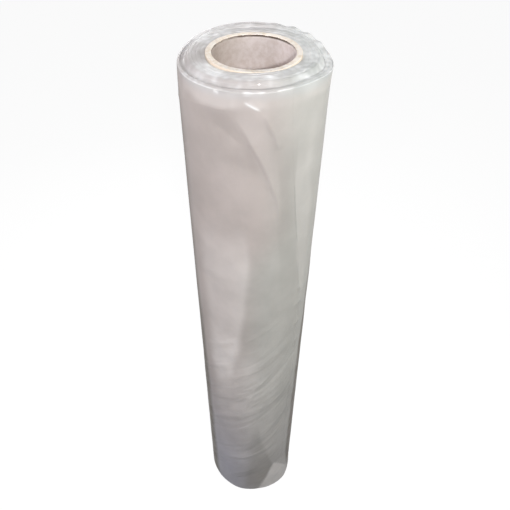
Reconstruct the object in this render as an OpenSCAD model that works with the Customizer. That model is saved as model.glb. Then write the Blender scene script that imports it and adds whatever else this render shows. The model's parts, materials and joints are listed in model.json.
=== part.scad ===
// A roll of thin translucent sheeting, wound on a cardboard core and standing on its end.
// Millimetres. The origin is on the floor, on the axis of the core; +Z is up and the front faces -Y.

/* [Core tube] */
// inside diameter of the cardboard core
bore_d = 76; // [50:1:78]
// thickness of the core's wall
core_wall = 5.5; // [3:0.5:6]
// length of the core
core_len = 766; // [700:1:900]
// bevel on the outer edges of the core's ends
core_bevel = 0.6; // [0.2:0.1:1]

/* [Wound sheeting] */
// outside diameter of the roll
roll_d = 140.4; // [130:0.2:160]
// how far the core stands above the sheeting's highest level
core_proud = 0; // [0:0.5:10]
// clearance between the core and the innermost turn
seat_gap = 0.1; // [0.1:0.05:0.5]
// number of bundles of turns that can be told apart on the end
turn_count = 9; // [6:1:10]
// thickness of the innermost bundle where the winding starts
first_turn = 2.4; // [1.5:0.1:3]
// how much tighter the outer turns lie than the inner ones, 1 is even
turn_crowding = 1.6; // [1:0.1:1.7]
// part of each bundle's thickness that is rounded off at either side
turn_rounding = 0.3; // [0.2:0.05:0.35]
// depth of the grooves between the bundles
groove_depth = 0.7; // [0.3:0.1:1.5]
// part of that depth that is left at the front
groove_front = 0.5; // [0.3:0.1:1]
// thickness from which a bundle's groove has its full depth
groove_full = 1.6; // [0.8:0.1:3]
// how far the bundles' edges ride up and down
stagger_h = 0.45; // [0:0.05:0.8]
// rounding at the roll's lower outer edge, and below the lip
edge_round = 1.2; // [0.5:0.1:2]

/* [Top end] */
// drop of the outer lip at the front
lip_drop_front = 4.2; // [1:0.1:8]
// further drop of the outer lip at the right
lip_drop_right = 6.2; // [2:0.2:12]
// further drop of the outer lip at the left
lip_drop_left = 4.4; // [2:0.2:12]
// radius at which the raised collar round the core ends
collar_r = 61; // [56:0.5:63]
// width over which the collar falls to the outer lip
collar_fall = 3.5; // [2:0.5:6]
// drop of the collar at the front
collar_drop = 0; // [0:0.1:3]
// further drop of the collar at the left, where it bares the core's wall
collar_gap_left = 2; // [0:0.1:4]
// azimuth of that place
collar_left_az = -145; // [-160:1:-120]
// half width of that place, in degrees
collar_left_span = 38; // [20:1:50]
// further drop of the collar at the right
collar_gap_right = 1.6; // [0:0.1:4]
// azimuth of that place
collar_right_az = -12; // [-30:1:10]
// half width of that place, in degrees
collar_right_span = 24; // [15:1:40]
// further drop of the collar at the back
collar_gap_back = 1.2; // [0:0.1:3]
// half width of that stretch, in degrees
collar_back_span = 60; // [30:1:80]
// how far the collar's top is domed
collar_dome = 0.5; // [0:0.1:3]
// depth of the channel between the collar and the outer lip, at the front
channel_depth = 2; // [0:0.1:4]
// half width of that channel
channel_w = 1.8; // [1:0.1:4]
// height of the scallops in the lip at the back right
scallop_h = 0.9; // [0:0.1:2]
// width over which the lip rounds off to the outer surface
lip_round_w = 4.5; // [3:0.1:8]
// drop over that rounding, where it is deepest
lip_round_drop = 3.6; // [1:0.1:6]
// azimuth at which the rounding is deepest
lip_round_az = -105; // [-130:1:-80]
// half width of the rounded stretch, in degrees
lip_round_span = 65; // [50:1:80]
// part of the rounding that is left elsewhere
lip_round_least = 0.15; // [0.1:0.05:0.5]
// azimuth of the flap at the right, where the lip stands out
flap_az = -6; // [-15:1:5]
// half width of the flap, in degrees
flap_span = 20; // [12:1:30]
// how far the flap stands out
flap_out = 1.4; // [0:0.1:3]
// how far the outer surface draws in under the lip elsewhere
shoulder_in = 1; // [0:0.1:2]
// depth over which it comes back out
shoulder_depth = 9; // [5:1:20]

/* [Outer surface] */
// azimuth of the sheet's end at the top
tail_top_az = -62; // [-70:1:-50]
// azimuth of the sheet's end over the lower part
tail_foot_az = -37; // [-50:1:-30]
// depth below the top over which the end runs askew
tail_skew_depth = 330; // [200:5:500]
// thickness of the sheet at its end
sheet_edge = 0.3; // [0.2:0.1:0.6]
// angle over which the outer turn draws in towards the sheet's end
sheet_edge_span = 9; // [6:1:20]
// azimuth of the slit between the outer bundles at the front right
slit_az = -21; // [-30:1:-12]
// half width of the slit, in degrees
slit_span = 11; // [8:1:16]
// depth of the slit
slit_depth = 8; // [0:0.5:12]
// height of the folds
fold_h = 1.4; // [0:0.1:2]
// half width of the folds
fold_w = 6; // [4:0.5:10]
// azimuth of the short fold's upper end
short_fold_top_az = -95; // [-100:1:-85]
// depth of the short fold's upper end
short_fold_top_depth = 14; // [10:1:25]
// azimuth of the short fold's lower end
short_fold_foot_az = -71; // [-80:1:-65]
// depth of the short fold's lower end
short_fold_foot_depth = 62; // [45:1:90]
// azimuth of the long fold's upper end
long_fold_top_az = -104; // [-115:1:-98]
// depth of the long fold's upper end
long_fold_top_depth = 27; // [20:1:45]
// azimuth of the long fold's lower end
long_fold_foot_az = -69; // [-80:1:-60]
// depth of the long fold's lower end
long_fold_foot_depth = 135; // [100:1:200]
// azimuth of the right fold's upper end
right_fold_top_az = -57; // [-65:1:-50]
// depth of the right fold's upper end
right_fold_top_depth = 64; // [40:1:100]
// azimuth of the right fold's lower end
right_fold_foot_az = -36; // [-45:1:-30]
// depth of the right fold's lower end
right_fold_foot_depth = 344; // [250:1:400]
// azimuth of the middle fold's upper end
middle_fold_top_az = -93; // [-100:1:-85]
// depth of the middle fold's upper end
middle_fold_top_depth = 150; // [130:1:200]
// azimuth of the middle fold's lower end
middle_fold_foot_az = -102; // [-110:1:-95]
// depth of the middle fold's lower end
middle_fold_foot_depth = 345; // [280:1:390]
// how far the sheeting clings in beside the long fold
hollow_dip = 1.2; // [0:0.1:2]
// azimuth of that hollow
hollow_az = -110; // [-120:1:-105]
// half width of the hollow, in degrees
hollow_span = 12; // [8:1:20]
// depth of the hollow's middle
hollow_depth = 46; // [35:1:60]
// half height of the hollow
hollow_h = 18; // [10:1:30]
// number of leaning wrinkles over the lower part
wrinkle_count = 3; // [1:1:4]
// height of the wrinkles
wrinkle_h = 0.9; // [0:0.1:1.5]
// half width of the wrinkles
wrinkle_w = 9; // [6:1:15]
// azimuth of the first wrinkle's upper end
wrinkle_az = -52; // [-60:1:-40]
// azimuth from one wrinkle to the next
wrinkle_gap = 20; // [14:1:28]
// depth of the wrinkles' upper ends
wrinkle_depth = 412; // [380:1:440]
// azimuth by which a wrinkle's lower end lies further left
wrinkle_lean = 45; // [30:1:60]
// height over which a wrinkle runs
wrinkle_drop = 150; // [100:5:180]
// height of the slow waves in the sheeting
wave_h = 0.25; // [0:0.05:0.5]

/* [Lower end] */
// how far the loose corner at the lower right stands out
flare_out = 5.4; // [0:0.1:7]
// height of the loose corner
flare_h = 80; // [50:1:120]
// azimuth at which the corner stands out furthest
flare_az = -38; // [-45:1:-30]
// azimuth of the corner's left edge at its top
flare_left_top_az = -57; // [-65:1:-50]
// azimuth of the corner's left edge at the floor
flare_left_foot_az = -79; // [-90:1:-70]
// azimuth at which the corner ends at the right
flare_right_az = -8; // [-20:1:0]
// how far the outer turns stand off the floor at the left
foot_lift = 5; // [0:0.5:8]
// azimuth of that raised stretch
foot_lift_az = -165; // [-180:1:-150]
// half width of the raised stretch, in degrees
foot_lift_span = 40; // [20:1:60]

/* [Hidden] */
$fn = 180;
core_r = bore_d / 2 + core_wall;
roll_r = roll_d / 2;
roll_h = core_len - core_proud;

// azimuth of the back, where the end stands highest
back_az = 90;
// the lip falls away to the right and the left as these powers of the cosine
lip_power_right = 7;
lip_power_left = 3;
// the channel's middle lies this part of the collar's fall outside the collar
channel_place = 0.6;
// the scallops lie round this azimuth, over this half width, and repeat this often
scallop_az = 45;
scallop_span = 35;
scallops_round = 15;
// two waves along the winding let the bundles' edges ride up and down
stagger_rate = 0.7;
stagger_fine_rate = 1.9;
stagger_fine_share = 0.6;
stagger_phase = 50;
// the slow waves are two crossed sines, with whole waves round the roll and degrees per millimetre down it
wave_round = 4;
wave_down = 0.6;
wave_cross_round = 3;
wave_cross_down = -0.35;
// the roll's own folds and waves die away inwards, and so does the raised stretch of its foot
outwards_power = 3;

// stations round the roll, counter-clockwise from the sheet's end
station_count = 60;
station_step = 360 / station_count;
// the seat's flats clear the core, so its corners stand a little further out
seat_r = (core_r + seat_gap) / cos(station_step / 2);

// a station's profile: columns out over the top, rows down the outside, the same columns back below
column_count = 3 * turn_count - 1;
last_column = column_count - 1;
top_rows = 40;
foot_rows = 4;
row_count = top_rows + foot_rows;
row_crowding = 1.4;
foot_crowding = 1.8;
foot_zone = 40;
loop_count = 2 * column_count + row_count;
// the sheet's end has its own groove, land and wall vertices; the rest is the last station's
own_columns = 3;
shared_columns = column_count - own_columns;

// which sub-part is drawn

function bell(x, centre, half) = exp(-pow((x - centre) / half, 2));
function ease(t) = let (u = max(0, min(1, t))) u * u * (3 - 2 * u);
function turned(az) = az - 360 * floor((az + 180) / 360);

// outer radius of the winding at an angle counted inwards from the sheet's end
function winding_r(w) =
    roll_r - (roll_r - seat_r - first_turn) * pow(w / (360 * turn_count), turn_crowding);
function turn_w(k, theta) = 360 * (turn_count - 1 - k) + theta;
// the outside is brought in towards the sheet's end, where only the sheet's edge steps up
edge_step = roll_r - winding_r(360) - sheet_edge;
function turn_outer(k, theta) =
    winding_r(turn_w(k, theta)) - (k == turn_count - 1 ? edge_step * exp(-theta / sheet_edge_span) : 0);
function turn_inner(k, theta) = k == 0 ? seat_r : turn_outer(k - 1, theta);

// columns 3k and 3k+1 are the two sides of turn k's land, and 3k+2 is the groove outside it
function column_turn(c) = floor(c / 3);
function column_r(c, theta) =
    let (k = column_turn(c), inner = turn_inner(k, theta), outer = turn_outer(k, theta))
    c % 3 == 2 ? outer
    : c % 3 == 1 ? outer - turn_rounding * (outer - inner)
    : k == 0 ? inner
    : inner + turn_rounding * (outer - inner);

// how the end sinks from its highest level: a domed collar, a channel and a lip that drops in front
function lip_drop(az) =
    lip_drop_front * (1 - sin(az)) / 2
    + (cos(az) > 0
        ? lip_drop_right * pow(cos(az), lip_power_right)
        : lip_drop_left * pow(-cos(az), lip_power_left));
function collar_sink(r, az) =
    let (mid = (core_r + collar_r) / 2, half = (collar_r - core_r) / 2)
    collar_drop
    + collar_gap_left * bell(turned(az - collar_left_az), 0, collar_left_span)
    + collar_gap_right * bell(turned(az - collar_right_az), 0, collar_right_span)
    + collar_gap_back * bell(turned(az - back_az), 0, collar_back_span)
    + collar_dome * pow((r - mid) / half, 2);
function channel(r, az) =
    channel_depth * pow((1 - sin(az)) / 2, 2) * bell(r, collar_r + collar_fall * channel_place, channel_w);
function scallops(r, az) =
    scallop_h * ease((r - collar_r) / collar_fall)
    * bell(az, scallop_az, scallop_span) * sin(scallops_round * az);
function flap(az) = bell(turned(az - flap_az), 0, flap_span);
function lip_round(r, az) =
    let (over = max(0, min(1, 1 - (roll_r - r) / lip_round_w)))
    lip_round_drop * (1 - sqrt(1 - over * over))
    * (lip_round_least + (1 - lip_round_least) * bell(turned(az - lip_round_az), 0, lip_round_span));
function end_sink(r, az) =
    let (s = ease((r - collar_r + collar_fall / 2) / collar_fall))
    collar_sink(min(r, collar_r), az) * (1 - s) + lip_drop(az) * s
    + channel(r, az) + scallops(r, az) + lip_round(r, az);

function stagger(w) =
    stagger_h * (sin(stagger_rate * w) + stagger_fine_share * sin(stagger_fine_rate * w + stagger_phase));
function slit(c, az) = column_turn(c) == turn_count - 2 ? slit_depth * bell(az, slit_az, slit_span) : 0;
function groove(k, theta, az) =
    let (thickness = turn_outer(k, theta) - turn_inner(k, theta))
    groove_depth * min(1, thickness / groove_full)
    * (groove_front + (1 - groove_front) * (1 + sin(az)) / 2);
function land_z(k, r, theta, az) = roll_h - end_sink(r, az) + stagger(turn_w(k, theta));
function top_z(c, theta, az) =
    let (k = column_turn(c), r = column_r(c, theta))
    c % 3 < 2 ? land_z(k, r, theta, az)
    : min(land_z(k, r, theta, az), land_z(k + 1, r, theta, az)) - groove(k, theta, az) - slit(c, az);

function outwards(r) = (r - seat_r) / (roll_r - seat_r);
function foot_z(r, az) =
    foot_lift * pow(outwards(r), outwards_power) * bell(turned(az - foot_lift_az), 0, foot_lift_span);
function under_z(c, theta, az) =
    foot_z(column_r(c, theta), az) + (c % 3 == 2 ? groove(column_turn(c), theta, back_az) : 0);

// the sheet's end runs askew down the roll, and every level turns with it
function swing(z) = (tail_foot_az - tail_top_az) * ease((roll_h - z) / tail_skew_depth);
// a fold from one point of the unrolled surface to another, as azimuth and depth
function fold(az, depth, from, to, half) =
    let (
        x = (az - from.x) * PI / 180 * roll_r,
        end_x = (to.x - from.x) * PI / 180 * roll_r,
        run = [end_x, to.y - from.y],
        gone = [x, depth - from.y],
        t = max(0, min(1, (gone * run) / (run * run)))
    )
    bell(norm(gone - t * run), 0, half);
short_fold = [[short_fold_top_az, short_fold_top_depth], [short_fold_foot_az, short_fold_foot_depth]];
long_fold = [[long_fold_top_az, long_fold_top_depth], [long_fold_foot_az, long_fold_foot_depth]];
right_fold = [[right_fold_top_az, right_fold_top_depth], [right_fold_foot_az, right_fold_foot_depth]];
middle_fold = [[middle_fold_top_az, middle_fold_top_depth], [middle_fold_foot_az, middle_fold_foot_depth]];
folds = [short_fold, long_fold, right_fold, middle_fold];
wrinkles = [
    for (i = [0 : wrinkle_count - 1])
        let (az = wrinkle_az - i * wrinkle_gap)
        [[az, wrinkle_depth], [az - wrinkle_lean, wrinkle_depth + wrinkle_drop]]
];
function sum(values, i = 0) = i < len(values) ? values[i] + sum(values, i + 1) : 0;

// the loose corner: a tent across the azimuth whose left edge slants out towards the floor
function flare(az, z) =
    let (
        up = max(0, min(1, z / flare_h)),
        left = flare_left_foot_az + (flare_left_top_az - flare_left_foot_az) * up,
        rise = max(0, min(1, (az - left) / (flare_az - left))),
        fall = max(0, min(1, (flare_right_az - az) / (flare_right_az - flare_az)))
    )
    flare_out * min(rise, fall) * (1 - up);
function shoulder(az, depth) =
    (shoulder_in - (shoulder_in + flap_out) * flap(az)) * exp(-max(0, depth - lip_drop(az)) / shoulder_depth);
function waves(az, depth) =
    wave_h * sin(wave_round * az + wave_down * depth) * sin(wave_cross_round * az + wave_cross_down * depth);
function swell(az, z) =
    let (depth = roll_h - z)
    fold_h * sum([for (f = folds) fold(az, depth, f[0], f[1], fold_w)])
    + wrinkle_h * sum([for (f = wrinkles) fold(az, depth, f[0], f[1], wrinkle_w)])
    - hollow_dip * bell(az, hollow_az, hollow_span) * bell(depth, hollow_depth, hollow_h)
    + waves(az, depth) + flare(az, z) - shoulder(az, depth);

// a vertex of the roll: nominal radius, angle from the sheet's end, height
function roll_point(r, theta, z) =
    let (
        az = tail_top_az + theta + swing(z) * outwards(r),
        out = r + swell(turned(az), z) * pow(max(0, outwards(r)), outwards_power)
    )
    [out * cos(az), out * sin(az), z];
function top_point(c, theta) =
    roll_point(column_r(c, theta), theta, top_z(c, theta, turned(tail_top_az + theta)));
function under_point(c, theta) =
    roll_point(column_r(c, theta), theta, under_z(c, theta, turned(tail_foot_az + theta)));
function wall_point(j, theta) =
    let (
        r = turn_outer(turn_count - 1, theta),
        top = top_z(last_column, theta, turned(tail_top_az + theta)) - edge_round,
        foot = under_z(last_column, theta, turned(tail_foot_az + theta)) + edge_round,
        z = j < top_rows
            ? top - (top - foot - foot_zone) * pow(j / (top_rows - 1), row_crowding)
            : foot + foot_zone * pow(1 - (j - top_rows + 1) / foot_rows, foot_crowding)
    )
    roll_point(r, theta, z);

function station_loop(theta) = concat(
    [for (c = [0 : last_column]) top_point(c, theta)],
    [for (j = [0 : row_count - 1]) wall_point(j, theta)],
    [for (c = [last_column : -1 : 0]) under_point(c, theta)]
);
own_points = concat(
    [for (c = [shared_columns : last_column]) top_point(c, 0)],
    [for (j = [0 : row_count - 1]) wall_point(j, 0)],
    [for (c = [last_column : -1 : shared_columns]) under_point(c, 0)]
);
roll_points = concat([for (s = [1 : station_count]) each station_loop(s * station_step)], own_points);

// index of a place in a station's loop; the first station borrows the last one's turns, one turn in
own_start = station_count * loop_count;
function place(s, j) = (s - 1) * loop_count + j;
function first_place(j) =
    j == 0 || j == loop_count - 1 ? place(station_count, j)
    : j < shared_columns ? place(station_count, j + 3)
    : j >= loop_count - shared_columns ? place(station_count, j - 3)
    : own_start + j - shared_columns;
function vertex(s, j) = s == 0 ? first_place(j) : place(s, j);

function two_triangles(a, b, c, d) = [[a, b, c], [a, c, d]];
function strip_quad(s, j) =
    let (next = (j + 1) % loop_count)
    two_triangles(vertex(s, j), vertex(s + 1, j), vertex(s + 1, next), vertex(s, next));
strip_faces = [
    for (s = [0 : station_count - 1], j = [0 : loop_count - 1])
        if (s > 0 || (j != 0 && j != loop_count - 2)) each strip_quad(s, j)
];

// where the winding starts, the innermost land runs into the first two lands of the last station
function land_fan(first, second, rim) = concat(
    [for (i = [0 : 1]) [rim[i + 1], rim[i], first]],
    [[rim[2], first, second]],
    [for (i = [2 : 3]) [rim[i + 1], rim[i], second]]
);
function flipped(faces) = [for (f = faces) [f[0], f[2], f[1]]];
top_fan = land_fan(place(1, 0), place(1, 1), [for (j = [0 : 4]) place(station_count, j)]);
under_fan = flipped(land_fan(
    place(1, loop_count - 1),
    place(1, loop_count - 2),
    [for (j = [0 : 4]) place(station_count, loop_count - 1 - j)]
));

// the edge of the sheet's end: a strip between the first station's wall and the last station's
first_wall = own_start + own_columns;
last_wall = place(station_count, column_count);
top_joint = place(station_count, last_column);
under_joint = place(station_count, column_count + row_count);
function ring_fan(ring) = [for (i = [1 : len(ring) - 2]) [ring[0], ring[i], ring[i + 1]]];
tail_faces = concat(
    ring_fan(concat([top_joint], [for (i = [0 : own_columns]) own_start + i], [last_wall])),
    [
        for (j = [0 : row_count - 2])
            each two_triangles(first_wall + j, first_wall + j + 1, last_wall + j + 1, last_wall + j)
    ],
    ring_fan(concat([under_joint, last_wall + row_count - 1],
        [for (i = [-1 : own_columns - 1]) first_wall + row_count + i]))
);

module core_tube() {
    color([0.74, 0.63, 0.50])
    rotate_extrude()
    polygon([
        [bore_d / 2, 0],
        [core_r - core_bevel, 0],
        [core_r, core_bevel],
        [core_r, core_len - core_bevel],
        [core_r - core_bevel, core_len],
        [bore_d / 2, core_len]
    ]);
}

module film_roll() {
    color([0.83, 0.81, 0.79])
    polyhedron(
        points = roll_points,
        faces = concat(strip_faces, top_fan, under_fan, tail_faces),
        convexity = 10
    );
}

core_tube();
film_roll();
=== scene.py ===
import json
import math

import bpy
import numpy as np
from mathutils import Matrix, Vector


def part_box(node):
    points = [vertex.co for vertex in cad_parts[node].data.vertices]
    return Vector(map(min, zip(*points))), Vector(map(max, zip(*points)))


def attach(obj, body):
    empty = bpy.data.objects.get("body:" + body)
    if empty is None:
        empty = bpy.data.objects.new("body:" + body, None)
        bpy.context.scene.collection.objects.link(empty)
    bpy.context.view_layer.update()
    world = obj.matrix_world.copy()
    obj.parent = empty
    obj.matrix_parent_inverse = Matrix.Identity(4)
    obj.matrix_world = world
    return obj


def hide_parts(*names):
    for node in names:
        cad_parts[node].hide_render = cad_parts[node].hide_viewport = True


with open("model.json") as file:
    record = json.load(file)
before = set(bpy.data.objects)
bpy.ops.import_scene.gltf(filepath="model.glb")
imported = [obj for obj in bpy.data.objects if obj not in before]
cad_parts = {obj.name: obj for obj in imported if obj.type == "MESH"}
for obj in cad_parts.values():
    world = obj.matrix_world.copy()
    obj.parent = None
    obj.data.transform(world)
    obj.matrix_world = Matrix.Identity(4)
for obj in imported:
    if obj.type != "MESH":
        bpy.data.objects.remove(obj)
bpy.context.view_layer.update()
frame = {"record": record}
mm = 0.001
sharpAngle = 70      # degrees between two faces, above which their edge is shaded sharp

# the core's top, radius and bore come from the frame
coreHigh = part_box("core_tube")[1]
coreTop = coreHigh[2] / mm
coreRadius = coreHigh[0] / mm
boreRadius = frame["record"]["mounts"][0]["dims"]["r_mm"]


def bell(x, centre, half):
    # exp(-((x - centre) / half)^2)
    return np.exp(-((x - centre) / half) ** 2)


def ease(t):
    # smooth step: 3 t^2 - 2 t^3 between 0 and 1
    u = np.clip(t, 0, 1)
    return u * u * (3 - 2 * u)


def turned(az):
    # the same azimuth between -180 and 180 degrees
    return az - 360 * np.floor((az + 180) / 360)


def sinD(a):
    # sine of an angle in degrees
    return np.sin(np.radians(a))


def cosD(a):
    # cosine of an angle in degrees
    return np.cos(np.radians(a))


def ripples(x, y, z, seed, size, count=14):
    # a sum of sine waves in random directions, each 0.7 to 1.6 times size long, mostly from -1 to 1
    rng = np.random.default_rng(seed)
    total = 0.0
    for _ in range(count):
        way = rng.normal(size=3)
        way *= 2 * math.pi / (np.linalg.norm(way) * size * rng.uniform(0.7, 1.6))
        total = total + np.sin(way[0] * x + way[1] * y + way[2] * z + rng.uniform(0, 6.3))
    return total * math.sqrt(2 / count) / 1.5


def meshFrom(name, points, faces):
    # points is (n, 3) in millimetres, faces a list of index lists of one length each
    me = bpy.data.meshes.new(name)
    me.vertices.add(len(points))
    me.vertices.foreach_set("co", (np.asarray(points) * mm).astype(np.float32).ravel())
    counts = np.concatenate([np.full(len(f), f.shape[1]) for f in faces])
    me.loops.add(int(counts.sum()))
    me.loops.foreach_set("vertex_index", np.concatenate([f.ravel() for f in faces]).astype(np.int32))
    me.polygons.add(len(counts))
    me.polygons.foreach_set("loop_start", np.concatenate([[0], np.cumsum(counts)[:-1]]).astype(np.int32))
    me.polygons.foreach_set("loop_total", counts.astype(np.int32))
    me.update(calc_edges=True)
    me.validate()
    me.polygons.foreach_set("use_smooth", np.full(len(me.polygons), True))
    me.set_sharp_from_angle(angle=math.radians(sharpAngle))
    ob = bpy.data.objects.new(name, me)
    bpy.context.scene.collection.objects.link(ob)
    return ob


def pointAttribute(ob, name, values, kind="FLOAT"):
    # one value, or one vector, for each point of the mesh
    layer = ob.data.attributes.new(name, kind, "POINT")
    field = "value" if kind == "FLOAT" else "vector"
    layer.data.foreach_set(field, np.asarray(values, dtype=np.float32).ravel())


# The wound sheeting. Lengths are in millimetres, angles in degrees. An azimuth is 0 at the right and
# -90 in front, a span is half the width of a bell, and a depth is counted down from the top.
sheeting = dict(
    rollRadius=70.2, rollHeight=766.0, seatGap=0.1,
    turnCount=9, firstTurn=2.4, turnCrowding=1.6, sheetEdge=0.08, sheetEdgeSpan=9.0,
    # the lands and grooves on the end, and the waves along the winding that they ride on
    grooveDepth=0.20, grooveFront=0.35, grooveTurn=0.7, grooveFull=2.2, landPower=2.5,
    staggerHeight=0.24, staggerWaves=((1.0, 0.7, 0), (0.6, 1.9, 50), (0.35, 7.3, 20)),
    crumple=0.23, crumpleSize=8.0, crumpleWaves=24, crumpleCalm=0.6, crumpleStart=20,
    # the lip, the collar and the channel between them
    lipDropFront=4.2, lipDropRight=6.2, lipDropLeft=4.4, lipPowerRight=7, lipPowerLeft=3,
    collarRadius=61.0, collarFall=5.0, collarDome=0.5,
    collarGapLeft=2.0, collarLeftAzimuth=-145.0, collarLeftSpan=38.0,
    collarGapRight=1.6, collarRightAzimuth=-12.0, collarRightSpan=24.0,
    collarGapBack=1.2, collarBackAzimuth=90.0, collarBackSpan=60.0,
    channelDepth=2.0, channelLeast=0.1, channelAzimuth=-140.0, channelSpan=36.0,
    channelPlace=0.6, channelWidth=2.0,
    scallopHeight=1.1, scallopAzimuth=45.0, scallopSpan=35.0, scallopCount=24, scallopShift=40.0,
    slitDepth=8.0, slitAzimuth=-21.0, slitSpan=11.0,
    lipRoundWidth=4.5, lipRoundDrop=3.6, lipRoundAzimuth=-105.0, lipRoundSpan=65.0, lipRoundLeast=0.15,
    shoulderIn=1.0, shoulderDepth=9.0,
    flapAzimuth=-6.0, flapSpan=20.0, flapOut=1.4,
    # the sheet's end down the side, and the loose corner at its foot
    tailTopAzimuth=-62.0, tailFootAzimuth=-37.0, tailSkewDepth=330.0,
    flareOut=5.4, flareHeight=80.0, flareAzimuth=-38.0, flareLeft=(-57.0, -79.0), flareRight=-8.0,
    lobePart=0.35, lobeRate=9.0, lobeAzimuth=-14.0, lobeSpan=12.0,
    footLift=5.0, footLiftAzimuth=-165.0, footLiftSpan=40.0,
    # slow waves and unevenness of the outside, and how round a fold's crest is
    waveHeight=0.25, waves=((4, 0.6), (3, -0.35)), unevenness=0.16, unevenSize=26.0, unevenStretch=0.35,
    crestRound=0.6, seed=7,
    # how milky the end is: all over, inside left, at the back; painted light at the collar's foot, painted
    # shade on the slope
    endMilk=0.235, streakPart=0.45, streakSize=9.0, streakWaves=20,
    innerMilk=0.20, innerRadius=54.0, innerWidth=7.0, innerAzimuth=-103.0, innerSpan=26.0,
    backMilk=0.22, backMilkAzimuth=155.0, backMilkSpan=65.0,
    footMilk=0.24, footMilkOut=4.4, footMilkWidth=1.7, footMilkAzimuth=-22.0, footMilkSpan=30.0,
    slopeCling=0.62, slopeAzimuth=-90.0, slopeSpan=68.0, slopeMean=0.8, slopeUneven=0.25, slopeSize=17.0,
    slopeLead=5.0, slopeRise=4.0, slopeEdge=0.7, slopeFall=2.0,
    # how far the patches' edges wander, less below calmFrom
    wanderRound=0.8, wanderRoundSize=30.0, wanderStretch=0.4, wanderDown=3.0, wanderDownSize=40.0,
    calmFrom=540.0, calmOver=60.0, calmPart=0.7,
    # how the mesh is divided
    stations=300, crowding=0.45, topSteps=(0.0, 0.06, 0.2, 0.38, 0.62, 0.8, 0.94), footSteps=(0.0, 0.3, 0.7),
    wallRows=200, wallLead=60.0, wallCrowding=1.7, edgeRows=(0.3, 1.2, 3.0),
)

# Folds down the outside. Each runs through points of azimuth and depth below the top, and has a
# height, a half width on its left and on its right, and the part of its length that it fades over.
sheetingFolds = [
    # from the lip down the front, and the hollow and ridge beside it on the left
    dict(run=((-95, 13), (-89, 18), (-84, 21)), height=0.7, left=1.3, right=2.4, fade=0.2),
    dict(run=((-84, 22), (-79, 34), (-75, 44), (-71, 62)), height=1.3, left=2.5, right=6.0, fade=0.2),
    dict(run=((-104, 27), (-96.4, 40), (-90.9, 53), (-83.5, 71), (-77, 92), (-70, 118), (-68, 150)),
         height=1.7, left=3.0, right=9.0, fade=0.2),
    dict(run=((-122, 34), (-108, 45), (-96, 58)), height=-1.2, left=9.0, right=7.0, fade=0.3),
    dict(run=((-172, 36), (-150, 28), (-130, 23), (-104, 22)), height=0.8, left=7.0, right=4.0, fade=0.1),
    # down the middle and along the sheet's end
    dict(run=((-93, 150), (-93, 191), (-93, 237), (-96, 290), (-102, 345)),
         height=0.9, left=16.0, right=9.0, fade=0.35),
    dict(run=((-57, 64), (-53, 122), (-49, 177), (-44.6, 226), (-38.2, 283), (-36, 344)),
         height=1.0, left=8.0, right=12.0, fade=0.2),
    dict(run=((-27, 100), (-32, 178), (-35, 236), (-37, 290)), height=1.0, left=8.0, right=7.0, fade=0.25),
    dict(run=((-150, 232), (-132, 226), (-110, 229)), height=0.6, left=4.0, right=3.0, fade=0.3),
    # slanting up to the right in the lower half
    dict(run=((-118, 572), (-100, 500), (-84, 430), (-70, 392)), height=1.0, left=7.0, right=10.0, fade=0.3),
    dict(run=((-110, 530), (-88, 452), (-66, 400)), height=0.8, left=6.0, right=9.0, fade=0.3),
    dict(run=((-128, 520), (-112, 456), (-96, 415)), height=0.7, left=6.0, right=8.0, fade=0.3),
    dict(run=((-96, 560), (-76, 482), (-52, 420)), height=0.9, left=7.0, right=9.0, fade=0.3),
    dict(run=((-140, 455), (-122, 420), (-104, 395)), height=0.6, left=6.0, right=8.0, fade=0.3),
    # short ones across the sheet's end
    dict(run=((-44, 250), (-38, 262), (-30, 268)), height=1.6, left=3.0, right=4.0, fade=0.3),
    dict(run=((-46, 292), (-38, 284), (-24, 290)), height=2.0, left=4.0, right=3.0, fade=0.3),
    dict(run=((-46, 330), (-36, 322), (-22, 334)), height=1.8, left=4.0, right=4.0, fade=0.3),
    dict(run=((-42, 372), (-34, 358), (-22, 356)), height=1.6, left=5.0, right=4.0, fade=0.3),
]
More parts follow.
